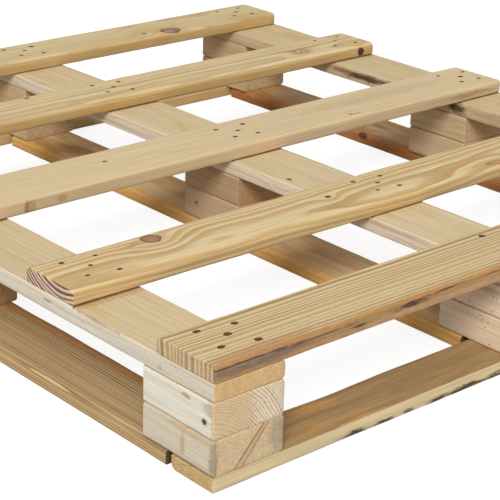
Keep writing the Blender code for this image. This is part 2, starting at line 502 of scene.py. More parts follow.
def wood_material(name, grain, centre, along_y, seed):
    material = bpy.data.materials.new(name)
    graph = Graph(material)
    place, normal = piece_coordinates(graph, centre, along_y)
    home = graph.vector("ADD", place, (seed * 517.3, seed * 91.7, seed * 63.1))
    late, distances = late_wood(graph, grain, place, home, seed)
    fibre = graph.noise(home, FIBRE_SCALE, 3.0, 0.6)
    shade = tone_variation(graph, grain, home, fibre)
    blotch = graph.noise(home, BLOTCH_SCALE, 3.0, 0.5)
    golden = graph.ramp(blotch, 0.62 - 0.5 * grain.gold, 0.80 - 0.5 * grain.gold, 0.0, 0.85)
    early = graph.mix(golden, srgb(*grain.early), srgb(*grain.golden))

    # Edges and end grain have tints of their own, with painted light in the middle long board's and
    # painted shade in the inner blocks'
    faces = graph.parts(graph.vector("ABSOLUTE", normal))
    on_end = graph.ramp(faces[0], *END_RANGE)
    on_side = graph.ramp(faces[1], *SIDE_RANGE)
    side_share = graph.math("MULTIPLY", on_side, grain.side_tint)
    end_share = graph.math("MULTIPLY", on_end, grain.end_tint)
    early = graph.mix(side_share, early, srgb(*grain.side))
    early = graph.mix(end_share, early, srgb(*grain.end))
    side_fade = graph.math("MULTIPLY_ADD", on_side, -0.7 * grain.side_tint, 1.0)
    late = graph.math("MULTIPLY", late, side_fade)
    end_fade = graph.math("MULTIPLY_ADD", on_end, grain.end_rings - 1.0, 1.0)
    late = graph.math("MULTIPLY", late, end_fade)
    late_share = graph.math("MULTIPLY", late, grain.contrast, clamp=True)
    darkest = graph.mix(on_end, srgb(*grain.late), srgb(*grain.end_late))
    colour = graph.mix(late_share, early, darkest)
    pores = graph.noise(home, PORE_SCALE, 4.0, 0.75)
    pores = graph.math("MULTIPLY", graph.math("SUBTRACT", pores, 0.5), on_end)
    shade = graph.math("MULTIPLY_ADD", pores, 2.0 * grain.stipple, shade)
    colour = graph.scaled(colour, shade)

    smear = graph.noise(home, SMEAR_SCALE, 4.0, 0.7)
    rough_edge = graph.noise(home, PATCH_EDGE_SCALE, 5.0, 0.7)
    colour, in_knots = paint_knots(graph, grain, home, smear, distances, colour)
    colour, in_patches = paint_patches(graph, grain, place, smear, rough_edge, colour)

    # Late wood and knots shine a little, end grain doesn't
    roughness = graph.math("MULTIPLY_ADD", late_share, -0.14, WOOD_ROUGHNESS)
    roughness = graph.math("MULTIPLY_ADD", on_end, 0.18, roughness)
    roughness = graph.math("MULTIPLY_ADD", in_knots, -0.16, roughness)
    roughness = graph.vary(roughness, fibre, 0.2)
    sawn = graph.math("MULTIPLY", graph.noise(home, SAW_SCALE, 2.0, 0.6), on_side)
    crust = graph.math("MULTIPLY", in_patches, rough_edge)
    height = graph.math("MULTIPLY", late, LATE_RELIEF)
    for pattern, relief in (
        (fibre, FIBRE_RELIEF),
        (sawn, SAW_RELIEF),
        (pores, PORE_RELIEF),
        (crust, CRUST_RELIEF),
    ):
        height = graph.math("MULTIPLY_ADD", pattern, relief, height)
    bump = graph.node("ShaderNodeBump", Strength=1.0, Distance=MM, Height=height).outputs[0]
    shader = graph.node(
        "ShaderNodeBsdfPrincipled", Base_Color=colour, Roughness=roughness, Normal=bump
    )
    shader.inputs["Specular IOR Level"].default_value = WOOD_SPECULAR
    graph.finish(shader)
    return material


# ---- Wood shapes -------------------------------------------------


SHARPEST_EDGE = 0.15  # mm
CORNER_STEPS = 4
WOOD_SHARP_ANGLE = math.radians(38.0)
CAP_LOOPS = (0.84, 0.62, 0.38, 0.16)  # sizes of the loops that close an end


@dataclass
class Shape:
    """How a piece's edges and faces depart from a plain prism, in millimetres."""

    # Edge radii: lower on the negative side, lower positive, upper positive, upper negative
    radii: tuple = (0.8, 0.8, 5.0, 5.0)
    raggedness: float = 0.25  # share by which the radii change along the piece
    relief: float = 0.22
    end_ease: float = 0.9
    end_corners: tuple = (1.0, 1.0)  # radius of the corners seen from above, at either end
    step: float = 5.0
    skew: float = 0.0  # mm sideways from one end to the other
    recess_radius: float = 2.9  # of the holes that nail heads left


def ripple(rng, count, shortest, longest):
    """A smooth random function of points in millimetres, about -1 to 1."""
    lengths = rng.uniform(shortest, longest, count)
    directions = rng.normal(size=(count, 3)) * (0.5, 1.0, 1.0)
    directions /= np.linalg.norm(directions, axis=1)[:, None]
    phases = rng.uniform(0.0, 2.0 * math.pi, count)

    def at(points):
        angles = points @ (directions.T * (2.0 * math.pi / lengths)) + phases
        return np.sin(angles).sum(-1) * math.sqrt(2.0 / count) * 0.6

    return at


def section(half, radii, cells):
    """Points and outward normals round the section at every station, anticlockwise."""
    points = []
    normals = []
    for index, (side, level) in enumerate(SQUARE):
        radius = radii[index]
        start = math.pi * (1.0 + 0.5 * index)
        for step in range(CORNER_STEPS + 1):
            angle = start + 0.5 * math.pi * step / CORNER_STEPS
            normal = np.array([math.cos(angle), math.sin(angle)])
            middle = np.stack([side * (half[0] - radius), level * (half[1] - radius)], -1)
            points.append(middle + radius[:, None] * normal)
            normals.append(np.broadcast_to(normal, middle.shape))
        count = cells[index % 2]
        points += [None] * (count - 1)
        normals += [normals[-1]] * (count - 1)
    filled = [i for i, p in enumerate(points) if p is not None]
    for before, after in zip(filled, filled[1:] + [filled[0] + len(points)]):
        for index in range(before + 1, after):
            share = (index - before) / (after - before)
            points[index] = points[before] * (1 - share) + points[after % len(points)] * share
    return np.stack(points, 1), np.stack(normals, 1)


def wood_mesh(name, size, shape, rng):
    """A closed mesh in millimetres, (along, across, up), about the middle of the piece."""
    half_length, half_width, half_height = (0.5 * s for s in size)
    count = max(8, round(size[0] / shape.step))
    ease = shape.end_ease
    middle = np.linspace(-half_length + ease, half_length - ease, count)
    near_end = np.array((0.0, 0.3 * ease))
    bends = [
        np.array((0.15, 0.3, 0.5, 0.75)) * radius if radius > 2.0 * ease else np.empty(0)
        for radius in shape.end_corners
    ]
    along = np.concatenate(
        [near_end - half_length, bends[0] + ease - half_length, middle[1:-1]]
        + [half_length - ease - bends[1][::-1], half_length - near_end[::-1]]
    )
    along = np.sort(np.concatenate([along, middle[[0, -1]]]))
    to_end = half_length - np.abs(along)
    rounding = 1.0 - np.sqrt(np.clip(1.0 - (1.0 - to_end / ease) ** 2, 0.0, 1.0))
    inset = ease * rounding * (to_end < ease)
    corner = np.where(along < 0.0, *shape.end_corners)
    into = np.clip(1.0 - to_end / corner, 0.0, 1.0)
    narrow = corner * (1.0 - np.sqrt(1.0 - into**2))
    edge_wave = [ripple(rng, 9, 30.0, 260.0) for _ in range(4)]
    line = np.stack([along, np.zeros_like(along), np.zeros_like(along)], -1)
    radii = [
        np.clip(radius * (1.0 + shape.raggedness * wave(line)), 0.4, 0.95 * half_height) - inset
        for radius, wave in zip(shape.radii, edge_wave)
    ]
    radii = [np.maximum(radius, SHARPEST_EDGE) for radius in radii]
    cells = (max(6, round(size[1] / shape.step)), max(3, round(size[2] / shape.step)))
    ring, normals = section((half_width - inset, half_height - inset), radii, cells)
    ring[..., 0] *= (1.0 - narrow / half_width)[:, None]
    body = np.concatenate([np.repeat(along[:, None, None], ring.shape[1], 1), ring], -1)
    flat_normals = np.concatenate([np.zeros((*ring.shape[:2], 1)), normals], -1)
    broad, fine = ripple(rng, 12, 90.0, 420.0), ripple(rng, 24, 9.0, 45.0)
    swell = shape.relief * (0.75 * broad(body) + 0.35 * fine(body))
    body = body + flat_normals * swell[..., None]
    loops = [body]
    for end, sign in ((0, -1.0), (-1, 1.0)):
        caps = []
        for share in CAP_LOOPS:
            cap = body[end] * (1.0, share, share)
            cap[:, 0] += sign * 0.5 * shape.relief * (1.0 - share) * fine(cap * 2.0)
            caps.append(cap)
        caps = np.stack(caps)
        if end == 0:
            loops.insert(0, caps[::-1])
        else:
            loops.append(caps)
    loops = np.concatenate(loops)
    loops[..., 1] += shape.skew * loops[..., 0] / size[0]
    return new_mesh(name, loops.reshape(-1, 3).tolist(), closed_faces(*loops.shape[:2]))


def carve(piece, cutter_mesh):
    """Cuts a mesh out of a piece for good. The cut faces keep the cutter's material."""
    cutter = add_object("cutter", cutter_mesh)
    cut = piece.modifiers.new("cut", "BOOLEAN")
    cut.operation = "DIFFERENCE"
    cut.material_mode = "TRANSFER"
    cut.object = cutter
    bpy.context.view_layer.update()
    evaluated = piece.evaluated_get(bpy.context.evaluated_depsgraph_get())
    result = bpy.data.meshes.new_from_object(evaluated)
    piece.modifiers.remove(cut)
    piece.data = result
    bpy.data.objects.remove(cutter)


def piece_frame(node, along_y):
    """Centre and (along, across, up) size of a CAD node, and the matrix from piece to frame."""
    low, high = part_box(node)
    centre = 0.5 * (low + high)
    size = (high - low) / MM
    if along_y:
        size = Vector((size.y, size.x, size.z))
    turn = Matrix.Rotation(0.5 * math.pi if along_y else 0.0, 4, "Z")
    place = Matrix.Translation(centre) @ turn @ Matrix.Scale(MM, 4)
    return centre, size, place


def recess_bruise_and_shade_material():
    """Torn, dirty fibres in a nail's recess, darkened further as painted shade in the hole."""
    material = bpy.data.materials.get("recess_bruise_and_shade_wood")
    if material:
        return material
    material = bpy.data.materials.new("recess_bruise_and_shade_wood")
    graph = Graph(material)
    place = graph.node("ShaderNodeTexCoord").outputs["Object"]
    torn = graph.noise(place, (600.0, 1400.0, 1400.0), 3.0, 0.65)
    # Dark brown: the torn fibres' own darker tone, and painted shade deep in the recess
    colour = graph.mix(torn, srgb(46, 31, 10), srgb(138, 104, 50))
    bump = graph.node("ShaderNodeBump", Strength=0.8, Distance=0.5 * MM, Height=torn).outputs[0]
    shader = graph.node("ShaderNodeBsdfPrincipled", Base_Color=colour, Roughness=0.9, Normal=bump)
    graph.finish(shader)
    return material


def wood_piece(node, grain, shape, along_y, seed, recesses=()):
    """The finished piece that stands for a CAD node."""
    centre, size, place = piece_frame(node, along_y)
    rng = np.random.default_rng(seed)
    mesh = wood_mesh(node + "_wood", size, shape, rng)
    mesh.transform(place)
    piece = add_object(node + "_wood", mesh)
    mesh.materials.append(wood_material(node, grain, centre, along_y, seed))
    if recesses:
        cutter = recess_mesh(recesses, along_y, rng)
        # The recess walls get torn-fibre colour with painted shade
        cutter.materials.append(recess_bruise_and_shade_material())
        carve(piece, cutter)
    piece.data.shade_smooth()
    piece.data.set_sharp_from_angle(angle=WOOD_SHARP_ANGLE)
    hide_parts(node)
    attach(piece, "root")


# ---- Nails -------------------------------------------------------


def turned(profile, sides, jitter=0.0, rng=None):
    """Points and faces of a closed body turned from (radius, height) points.

    With rng, every side's radius strays by a share of up to jitter.
    """
    radii = np.array([p[0] for p in profile])
    heights = np.array([p[1] for p in profile])
    angles = 2.0 * math.pi * np.arange(sides) / sides
    wobble = np.ones(sides) if rng is None else 1.0 + rng.uniform(-jitter, jitter, sides)
    x = radii[:, None] * np.cos(angles) * wobble
    y = radii[:, None] * np.sin(angles) * wobble
    z = np.repeat(heights[:, None], sides, 1)
    return np.stack([x, y, z], -1).reshape(-1, 3), closed_faces(len(profile), sides)


def recess_mesh(recesses, along_y, rng):
    """One cutter for a piece's nail recesses: each a (place, radius, up) with up = 1 or -1."""
    points = []
    faces = []
    stretch = (*(RECESS_STRETCH[::-1] if along_y else RECESS_STRETCH), 1.0)
    for place, usual_radius, up in recesses:
        radius = usual_radius * rng.uniform(0.86, 1.14)
        profile = (
            (radius * 0.88, -RECESS_DEPTH * up),
            (radius, -0.6 * RECESS_DEPTH * up),
            (radius * 1.08, 0.0),
            (radius * 1.1, 2.0 * MM * up),
        )
        body, quads = turned(profile if up > 0 else profile[::-1], RECESS_SIDES, 0.09, rng)
        body *= stretch
        faces += [[len(points) + i for i in face] for face in quads]
        points += (body + place).tolist()
    return new_mesh("recesses", points, faces)


def nail_mesh(length):
    """A ring-shank nail with a slightly domed head, its head's top at the origin."""
    dome = [
        (HEAD_RADIUS * math.sin(a), -0.35 * MM * (1.0 - math.cos(a)) * 2.0)
        for a in np.linspace(0.05, 0.5 * math.pi, 6)
    ]
    head = [(HEAD_RADIUS, -HEAD_THICKNESS), (SHANK_RADIUS * 1.25, -HEAD_THICKNESS - 0.6 * MM)]
    ring_start = -0.3 * length
    ring_end = -length + 7.0 * MM
    shank = [(SHANK_RADIUS, ring_start)]
    for height in np.arange(ring_start, ring_end, -RING_PITCH):
        shank.append((SHANK_RADIUS * 0.94, height - 0.5 * MM))
        shank.append((SHANK_RADIUS * 1.08, height - 1.4 * MM))
    tip = [(SHANK_RADIUS, -length + 5.0 * MM), (0.15 * MM, -length)]
    points, faces = turned(dome + head + shank + tip, NAIL_SIDES)
    mesh = new_mesh("nail", points.tolist(), [face[::-1] for face in faces])
    mesh.shade_smooth()
    mesh.set_sharp_from_angle(angle=NAIL_SHARP_ANGLE)
    return mesh


def nail_material():
    """Dull wire steel with a hammer-scarred, slightly rusty head, its colour kept dark partly as
    painted shade of the deep recess.
    """
    material = bpy.data.materials.new("nail_steel")
    graph = Graph(material)
    place = graph.node("ShaderNodeTexCoord").outputs["Object"]
    place = graph.vector("MULTIPLY", place, (1.0 / MM, 1.0 / MM, 1.0 / MM))
    scars = graph.noise(place, (1.2, 1.2, 1.2), 3.0, 0.6)
    rust = graph.ramp(graph.noise(place, (0.45, 0.45, 0.45), 4.0, 0.65), 0.46, 0.62, 0.0, 0.8)
    # Dark brown: partly rust and scars, partly painted shade of the recess that the head sits in
    colour = graph.mix(scars, srgb(38, 28, 18), srgb(72, 56, 38))
    colour = graph.mix(rust, colour, srgb(58, 38, 22))
    metallic = graph.math("MULTIPLY_ADD", rust, -0.8, 0.95)
    roughness = graph.math("MULTIPLY_ADD", rust, 0.35, 0.42)
    height = graph.math("MULTIPLY", scars, 0.15)
    bump = graph.node("ShaderNodeBump", Strength=0.7, Distance=MM, Height=height)
    shader = graph.node(
        "ShaderNodeBsdfPrincipled",
        Base_Color=colour,
        Metallic=metallic,
        Roughness=roughness,
        Normal=bump.outputs[0],
    )
    graph.finish(shader)
    return material


# ---- Each piece's own wood ---------------------------------------

BARK = (82, 60, 48)
GREY_DIRT = (150, 136, 118)
# Painted shade on the stringers' tops along the deck boards' front edges, where the boards meet them
GROOVE_PAINTED_SHADE = (118, 78, 42)
# Painted shade on a long bottom board's front end, in the narrow gap behind the cross board
GAP_SHADE = Patch((-441, 0, 0), (2.5, 90, 40), (60, 42, 28), 0.9, 0.2)

DECK = Grain(
    early=(214, 190, 144), late=(158, 108, 56), golden=(210, 168, 98), side=(210, 180, 132),
    end=(206, 180, 146),
)
DECK_GRAINS = (
    replace(
        DECK,
        pith=(230, -16), ring=6, narrowing=0.3, wander=0.8, wobble=1.2, contrast=0.74,
        profile=BROAD_LATE, early=(217, 193, 147), end=(220, 192, 150), end_tint=0.9,
        end_late=(132, 90, 60), gold=0.1, late=(128, 90, 22), side=(194, 144, 96), side_tint=0.6,
        patches=(
            Patch((0, -12, 9), (600, 17, 4), (206, 182, 136), 0.4, 0.3),
            Patch((-120, -41, 8.3), (420, 4.5, 3.6), (186, 130, 68), 0.6, 0.7),
            Patch((-400, -36, 8.3), (70, 9, 3), (176, 128, 80), 0.6, 0.6),
            Patch((40, -42, -5.5), (360, 4, 4.6), (204, 156, 118), 0.65, 0.7),
            Patch((-412, -43, 0.5), (66, 3, 4.8), (132, 110, 96), 0.85, 0.8),
            Patch((-425, -43, 4.4), (70, 3, 1), BARK, 0.85, 0.8),
            Patch((-335, -43, 3.4), (44, 3, 1.3), (112, 78, 56), 0.8, 1.2),
            Patch((-275, -43, -1), (11, 3, 1.4), BARK, 0.85, 0.9),
            Patch((-205, -43, 2.4), (25, 3, 2.6), BARK, 0.95, 1.2),
            Patch((-152, -42, 5.4), (17, 4, 1.1), (112, 74, 50), 0.85, 0.9),
            Patch((-84, -42, 5), (22, 4, 0.9), (126, 86, 58), 0.8, 0.9),
            Patch((60, -43, 3), (50, 3, 1.6), BARK, 0.7, 1.2),
            Patch((300, -43, 2), (80, 3, 1.8), BARK, 0.7, 1.2),
        ),
    ),
    replace(
        DECK,
        pith=(-20, 54), tilt=(0, -0.02), ring=5.6, narrowing=0.15, wander=3, contrast=0.8, gold=0.1,
        golden=(214, 182, 126), profile=BROAD_LATE, early=(218, 196, 150), late=(178, 132, 64),
        end=(232, 208, 184), end_tint=0.9, end_late=(124, 84, 62), end_rings=1.6,
        side=(202, 160, 92),
        knots=(
            Knot(-311, 25, 10.5, (160, 116, 80), (98, 64, 40), stretch=1.1, reach=3.4, push=1.6),
            Knot(-72, 5, 3, (60, 42, 30), (60, 42, 30), stretch=1.3, reach=4, push=0.6),
            Knot(175, -30, 6, (186, 140, 84), (150, 104, 58), stretch=2.6, reach=4.5, push=1.8),
            Knot(330, 12, 5, stretch=1.2, reach=4),
        ),
        patches=(
            Patch((-337, 21, 9), (18, 1.3, 2), (128, 88, 50), 0.75, 0.8),
            Patch((-331, 27, 9), (12, 1, 2), (138, 98, 58), 0.6, 0.8),
        ),
    ),
    replace(
        DECK,
        pith=(140, -190), ring=2.6, wander=3, contrast=0.16, gold=0.04, streaks=0.12, strands=0.26,
        early=(213, 191, 150), late=(186, 148, 100), side=(206, 178, 138), side_tint=0.75,
        knots=(
            Knot(-201, 8, 2.4, (110, 80, 56), (80, 56, 40), stretch=1.4, reach=5, push=0.7),
            Knot(-300, 0, 3.4, (200, 164, 120), (174, 134, 92), across=True, reach=3),
        ),
        patches=(
            Patch((-344, -46, -2), (8, 5, 9), (168, 132, 98), 0.55, 0.3),
            Patch((-348, -46, -2), (3, 5, 9), (146, 108, 76), 0.5, 0.4),
            Patch((179, -33, 8), (9, 0.9, 3), (96, 70, 46), 0.8, 0.4),
            Patch((171, -31, 8), (3, 3, 3), (110, 82, 54), 0.7, 0.5),
            Patch((240, 10, 8), (120, 14, 5), (182, 156, 116), 0.4, 0.9),
            Patch((390, -44, 0), (50, 3, 3), (140, 112, 80), 0.6, 1),
        ),
    ),
    replace(
        DECK,
        pith=(-22, -60), tilt=(0.01, 0), ring=3.4, narrowing=0.2, wander=1.2, wobble=0.8,
        contrast=0.75, gold=0.12, late=(156, 106, 42), early=(216, 194, 148), side=(190, 150, 84),
        side_tint=0.7,
        knots=(
            Knot(427, -0.5, 6, (76, 54, 40), (58, 40, 30), across=True, stretch=1.1, reach=3),
            Knot(329, -11, 2.6, (120, 96, 70), (84, 60, 38), stretch=1.5, reach=8, push=1),
            Knot(-130, 30, 2.4, (120, 80, 50), (84, 56, 36), stretch=1.5),
        ),
    ),
    replace(
        DECK,
        pith=(30, -52), tilt=(-0.03, 0), ring=4.4, wander=6, contrast=0.46, gold=0.3,
        golden=(208, 176, 120), early=(212, 191, 144), side=(190, 150, 88), side_tint=0.7,
        knots=(
            Knot(251, -25, 13.5, (176, 132, 102), (98, 62, 44), stretch=1.3, reach=2.6, push=2.4),
            Knot(205, -17, 2, (84, 58, 40), (84, 58, 40), stretch=3),
        ),
        patches=(
            Patch((226, -42, 2), (16, 6, 6), (190, 138, 78), 0.5, 0.7),
            Patch((245, -21, 9), (13, 2.2, 3), (76, 50, 40), 0.8, 0.9),
            Patch((256, -30, 9), (4, 5, 3), (90, 60, 46), 0.7, 0.9),
        ),
    ),
)

STRINGER = Grain(
    early=(214, 194, 154), late=(176, 140, 94), side=(226, 217, 198), side_tint=0.9, pepper=0.3,
    end=(222, 184, 128), end_tint=0.9, end_late=(176, 132, 84), end_rings=0.6, stipple=0.4,
    wander=1.5, gold=0.06, speckle=0.12,
)
STRINGER_GRAINS = (
    replace(
        STRINGER,
        pith=(-230, 60), ring=2.5, wobble=0.8, contrast=0.66, late=(164, 124, 70),
        patches=(
            Patch((-332, 43, 8.6), (26, 1.4, 1.3), (150, 118, 82), 0.75, 1.2),
            Patch((-299, 0, 9.5), (4.5, 60, 2), (178, 134, 86), 0.45, 0.5),
            Patch((-362, -42, 8), (5, 2.5, 2), BARK, 0.9, 0.5),
            Patch((-250, 42, 2), (8, 2.5, 1), (140, 122, 100), 0.8, 0.6),
            Patch((-430, 42, -3), (3, 2.5, 1.8), (160, 140, 120), 0.5, 0.8),
        ),
    ),
    replace(
        STRINGER,
        pith=(-150, 60), ring=3.2, narrowing=0.8, contrast=0.75, wobble=1, side=(240, 222, 200),
        side_tint=0.75,
        patches=(
            Patch((-300, 42, 5), (70, 3, 2), (170, 132, 98), 0.4, 1.4),
            Patch((-380, 42, -4), (50, 3, 2), (176, 140, 108), 0.35, 1.4),
        ),
        knots=(Knot(-143, 32, 2.4, (90, 62, 42), (80, 54, 36), reach=6, push=0.8),),
    ),
    replace(
        STRINGER,
        pith=(150, -90), ring=3.2, contrast=0.34, early=(208, 186, 144), side=(208, 182, 146),
        patches=(
            Patch((140, 43, 1), (54, 3.5, 4.2), (84, 54, 36), 0.95, 1.1),
            Patch((-112, 43, 0), (50, 3.5, 7), (176, 136, 98), 0.5, 1.4),
            Patch((-46, 43, 1), (15, 3.5, 7), (88, 56, 36), 0.95, 1.1),
            Patch((180, 42, 3), (20, 4, 3), (156, 104, 64), 0.6, 0.8),
            Patch((60, 42, 5), (30, 4, 4), (150, 116, 80), 0.6, 1),
        ),
    ),
)

# The blocks' edges are browner than the near blocks' whitish ones: partly the wood's own tone,
# partly painted warm shade inside the pallet
BLOCK = Grain(
    early=(210, 186, 148), late=(168, 128, 86), side=(210, 178, 136), side_tint=0.7,
    end=(208, 176, 134), end_tint=0.75, stipple=1, ring=2.6, contrast=0.5, gold=0.05, speckle=0.14,
    streaks=0.2,
)
# The centre row's darker, redder wood is partly its own and partly painted shade under the deck
CENTRE_LEFT_MARKS = dict(ring=2.6, contrast=0.9, end=(186, 138, 102), late=(128, 80, 52))
# Own marks of the blocks that show most
BLOCK_MARKS = {
    "upper_block_front_left": dict(
        pith=(58, -56), ring=3.1, narrowing=0.6, contrast=0.42, end_rings=2.3,
        end_late=(158, 118, 76), end=(246, 230, 202), side=(236, 230, 213), side_tint=0.95,
        pepper=0.25,
        knots=(
            Knot(-39, -4, 2.7, (84, 72, 70), (66, 56, 56), across=True, stretch=1.1, reach=3),
        ),
        stipple=0.8,
        patches=(
            Patch((-50, 43, 12), (10, 4, 10), GREY_DIRT, 0.5, 0.9),
            Patch((-13, 43, 13), (6, 4, 2.4), (186, 146, 104), 0.8, 0.7),
            Patch((-52, 24, 2), (5, 28, 40), (216, 184, 142), 0.75, 0.3),
        ),
    ),
    "lower_block_front_left": dict(
        pith=(-60, 70), ring=3, contrast=0.16, end=(220, 194, 154), side=(214, 202, 178),
        side_tint=0.95, speckle=0.26, pepper=0.4,
        patches=(
            Patch((-52, -3, 0), (5, 5, 40), (206, 170, 134), 0.6, 0.3, 42),
            Patch((-52, 0, 0), (5, 1.3, 40), (170, 122, 84), 0.8, 0.3, 44),
            Patch((-52, -7.5, 0), (5, 0.9, 40), (176, 128, 90), 0.7, 0.3, 40),
            Patch((-52, -36, 4), (8, 10, 20), GREY_DIRT, 0.5, 0.9),
            Patch((-52, 42, -4), (5, 4, 22), (120, 106, 90), 0.6, 1.2),
            Patch((-20, 43, 16), (34, 4, 5), (196, 160, 116), 0.5, 0.8),
            Patch((-8, 43, -2), (3, 4, 11), (186, 146, 106), 0.6, 0.8),
        ),
    ),
    "upper_block_front_middle": dict(
        pith=(120, -10), contrast=0.2, side=(234, 212, 186), side_tint=0.9, pepper=1.2,
        patches=(
            Patch((0, 43, 8), (50, 4, 4), (170, 132, 100), 0.4, 1.4),
        ),
    ),
    "lower_block_front_middle": dict(
        pith=(40, -60), contrast=0.3, side=(236, 214, 184), side_tint=0.9, pepper=1.4,
    ),
    "upper_block_centre_left": dict(CENTRE_LEFT_MARKS, pith=(160, 14)),
    "lower_block_centre_left": dict(CENTRE_LEFT_MARKS, pith=(160, 24)),
    # The centre middle blocks: darker edges and ends, partly their own colour and partly painted
    # shade under the deck
    "upper_block_centre_middle": dict(
        pith=(30, -50), end=(188, 140, 104), side=(186, 146, 106), late=(150, 104, 70)
    ),
    "lower_block_centre_middle": dict(
        pith=(-30, 60), end=(196, 150, 116), side=(200, 164, 130),
        knots=(Knot(28, 2, 1.8, (140, 106, 76), across=True, reach=3),),
    ),
}

BOTTOM = Grain(
    early=(206, 174, 124), late=(146, 100, 56), golden=(202, 150, 80), side=(206, 164, 96),
    side_tint=0.4, contrast=0.6, gold=0.35,
)
CROSS_GRAINS = (
    replace(
        BOTTOM,
        pith=(-8, -60), ring=4, wander=8, contrast=0.45, streaks=0.3, strands=0.6, gold=0.15,
        early=(168, 138, 94), side=(224, 204, 160), side_tint=0.9, end=(212, 180, 124),
        end_tint=0.9, end_rings=1.3, stipple=0.4,
        patches=(
            Patch((-276, -30, -6), (15, 5, 4.2), BARK, 0.95, 1.3),
            Patch((-233, -30, -6), (11, 5, 3.4), BARK, 0.95, 1.3),
            Patch((-200, -30, -6), (8, 5, 3), BARK, 0.8, 1.2),
            Patch((-160, -30, -6), (14, 5, 3.2), BARK, 0.95, 1.3),
            Patch((-118, -30, -5), (26, 5, 4), BARK, 0.95, 1.3),
            Patch((-60, -30, -6), (18, 5, 3.4), BARK, 0.9, 1.3),
            Patch((-130, 2, 8), (230, 7, 3), (150, 116, 74), 0.5, 0.8),
        ),
    ),
    replace(BOTTOM, pith=(30, -70), ring=3.8, contrast=0.4, side=(212, 184, 130)),
)
LONG_GRAINS = (
    replace(
        BOTTOM,
        pith=(-54, -58), ring=2.1, narrowing=0.3, wander=0.5, wobble=0.35, contrast=0.95,
        profile=BROAD_LATE, gold=0.1, early=(211, 182, 136), late=(102, 62, 20),
        side=(212, 170, 104), side_tint=0.3,
        patches=(
            Patch((0, -36, 8), (600, 14, 8), (192, 140, 76), 0.8, 0.3),
            GAP_SHADE,
        ),
    ),
    # Its golden left edge is its own colour; its early wood and edge are also made lighter as
    # painted light where the deck boards shade it
    replace(
        BOTTOM,
        pith=(-120, -60), ring=3.2, wander=1.5, contrast=0.85, wobble=0.8, early=(234, 200, 152),
        late=(136, 90, 50), side=(236, 180, 98), side_tint=0.9,
        patches=(
            Patch((0, 41, 8), (600, 11, 8), (226, 172, 98), 0.7, 0.3),
            GAP_SHADE,
        ),
    ),
    replace(
        BOTTOM,
        pith=(20, -60), ring=3.4, wander=4, contrast=0.6, early=(208, 172, 132),
        late=(150, 106, 72), side=(178, 116, 66), side_tint=0.95,
        patches=(
            Patch((0, 41, 8), (600, 13, 8), (186, 120, 66), 0.8, 0.3),
            Patch((139, 39, 4.5), (9, 6, 4.5), (92, 52, 44), 0.9, 0.4),
            GAP_SHADE,
            Patch((160, -6, 8), (30, 7, 3), (120, 84, 60), 0.6, 0.9),
        ),
    ),
)


def block_grain(node, rng):
    """A block's wood: its own marks over a random log."""
    log = rng.uniform(0.0, 2.0 * math.pi)
    reach = rng.uniform(45.0, 140.0)
    plain = replace(
        BLOCK,
        pith=(reach * math.cos(log), reach * math.sin(log)),
        ring=rng.uniform(2.2, 3.6),
        contrast=rng.uniform(0.35, 0.6),
    )
    return replace(plain, **BLOCK_MARKS.get(node, {}))


# ---- The pallet --------------------------------------------------


def cad_nail(node, up):
    """A nail of the CAD model: name, node, place of its head's top, length, and 1 up or -1 down."""
    low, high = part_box(node)
    place = 0.5 * (low + high)
    place.z = high.z if up > 0 else low.z
    return node, node, place, high.z - low.z, up


def with_others(nail, offsets, rng):
    """A crossing's nail, and the ones round it that stand for no CAD node."""
    name, _, place, length, up = nail
    found = [nail]
    for letter, offset in zip("abcd", offsets):
        moved = np.array(offset) + rng.uniform(-NAIL_SCATTER, NAIL_SCATTER, 2)
        found.append((f"{name}_{letter}", None, place + Vector((*moved, 0.0)) * MM, length, up))
    return found


def all_nails():
    """Every nail of the pallet, each as cad_nail gives it."""
    rng = np.random.default_rng(NAIL_SEED)
    nails = []
    groups = [
        (f"deck_nail_{board}_{column}", 1, DECK_NAIL_OFFSETS)
        for board in range(1, 6)
        for column in COLUMNS
    ]
    for column in COLUMNS:
        for row in ("front", "rear"):
            groups.append((f"cross_board_nail_{row}_{column}", -1, CROSS_NAIL_OFFSETS))
            groups.append((f"long_board_nail_{row}_{column}", -1, LONG_NAIL_OFFSETS))
    for column in ("left", "right"):
        groups.append((f"long_board_nail_centre_{column}", -1, CENTRE_NAIL_OFFSETS))
    for node, up, offsets in groups:
        nails += with_others(cad_nail(node, up), offsets, rng)
    # The CAD model has no nail under the middle block, so its nails stand as the left one's do
    _, _, place, length, up = cad_nail("long_board_nail_centre_left", -1)
    board_low, board_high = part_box("bottom_board_middle")
    place.x = 0.5 * (board_low.x + board_high.x)
    nail = ("long_board_nail_centre_middle", None, place, length, up)
    return nails + with_others(nail, CENTRE_NAIL_OFFSETS, rng)


def build_nails():
    nails = all_nails()
    meshes = {}
    material = nail_material()
    for name, node, place, length, up in nails:
        key = round(length, 4)
        if key not in meshes:
            meshes[key] = nail_mesh(length)
            meshes[key].materials.append(material)
        piece = add_object(name + "_steel", meshes[key])
        turn = Matrix.Rotation(0.0 if up > 0 else math.pi, 4, "X")
        piece.matrix_world = Matrix.Translation(place - Vector((0.0, 0.0, up * HEAD_DEPTH))) @ turn
        if node:
            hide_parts(node)
        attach(piece, "root")
    return nails


def recesses_on(node, shape, nails):
    """The recesses of the nails whose heads lie on this board."""
    low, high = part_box(node)
    found = []
    for _, _, place, _, up in nails:
        surface = high.z if up > 0 else low.z
        inside = low.x < place.x < high.x and low.y < place.y < high.y
        if inside and abs(place.z - surface) < 2.0 * MM:
            found.append((np.array((place.x, place.y, surface)), shape.recess_radius * MM, up))
    return found


